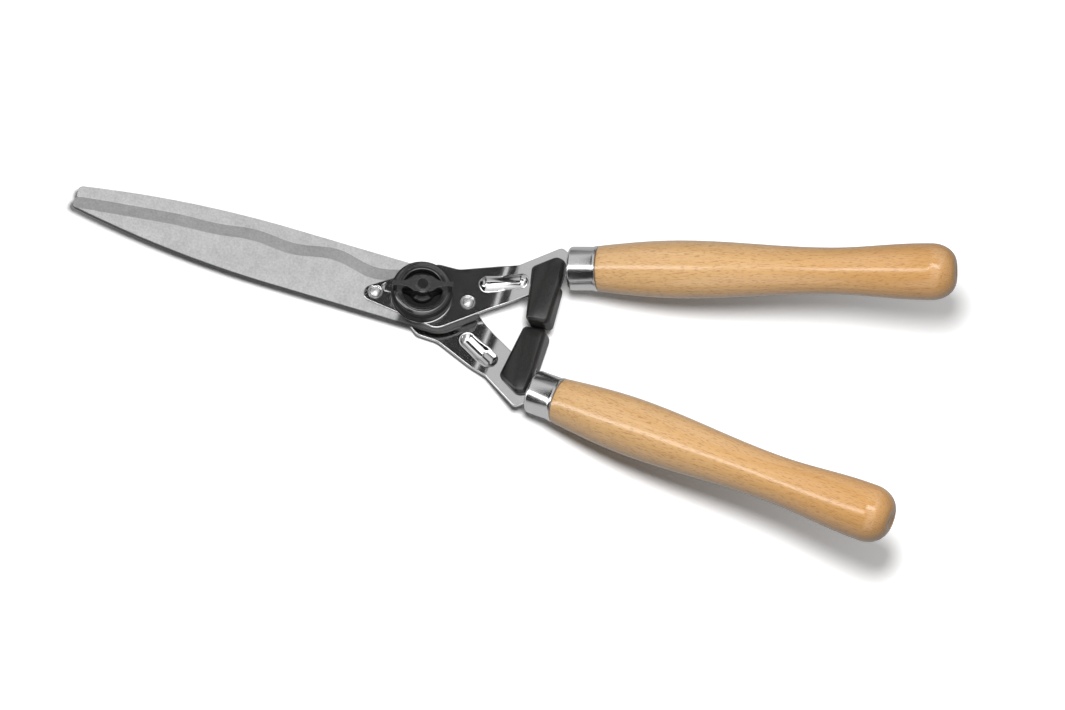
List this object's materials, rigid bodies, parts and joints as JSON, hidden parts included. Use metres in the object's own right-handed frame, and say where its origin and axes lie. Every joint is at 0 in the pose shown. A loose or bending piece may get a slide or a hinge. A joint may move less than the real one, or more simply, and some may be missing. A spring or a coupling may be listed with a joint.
{
  "type": "hedge shears",
  "caption": "Two-handed hedge shears with wavy-edged blades, cranked steel tangs, a tension knob, rubber stop buffers, ferrules and turned wooden handles, closed.",
  "frame": {"origin": "on the pivot axis, at the underside of the pivot bolt's head, which is the lowest face", "axes": "+X along the centre line from the pivot towards the handles, +Y towards the upper handle, +Z along the pivot axis towards the tension knob"},
  "size_m": [0.5775, 0.2058, 0.1169],
  "materials": {
    "blade_steel": "satin ground steel, darker on the ground bevel",
    "tang_chrome": "bright chrome plate over pressed steel",
    "rivet_steel": "bright headed steel",
    "bolt_steel": "zinc-plated steel, dull",
    "washer_steel": "bright steel sheet",
    "knob_plastic": "black moulded plastic, satin gloss",
    "buffer_rubber": "black moulded rubber, soft sheen",
    "ferrule_chrome": "bright drawn and chromed steel",
    "beech": "turned beech, clear varnish"
  },
  "bodies": {
    "lower_half": {"back_blade": "blade_steel", "lower_tang": "tang_chrome", "back_rivets": "rivet_steel", "pivot_bolt": "bolt_steel", "lower_buffer": "buffer_rubber", "lower_ferrule": "ferrule_chrome", "lower_handle": "beech"},
    "upper_half": {"front_blade": "blade_steel", "upper_tang": "tang_chrome", "front_rivets": "rivet_steel", "tab_washer": "washer_steel", "disc_spring": "bolt_steel", "upper_buffer": "buffer_rubber", "upper_ferrule": "ferrule_chrome", "upper_handle": "beech"},
    "knob": {"tension_knob": "knob_plastic", "knob_nut": "bolt_steel"}
  },
  "joints": [
    {"name": "blade_pivot", "type": "hinge", "parent": "lower_half", "child": "upper_half", "pos_m": [0, 0, 0.011], "axis": [0, 0, 1], "range_deg": [0, 60]},
    {"name": "knob_turn", "type": "hinge", "parent": "lower_half", "child": "knob", "pos_m": [0, 0, 0.025], "axis": [0, 0, 1], "range_deg": [0, 360]}
  ]
}
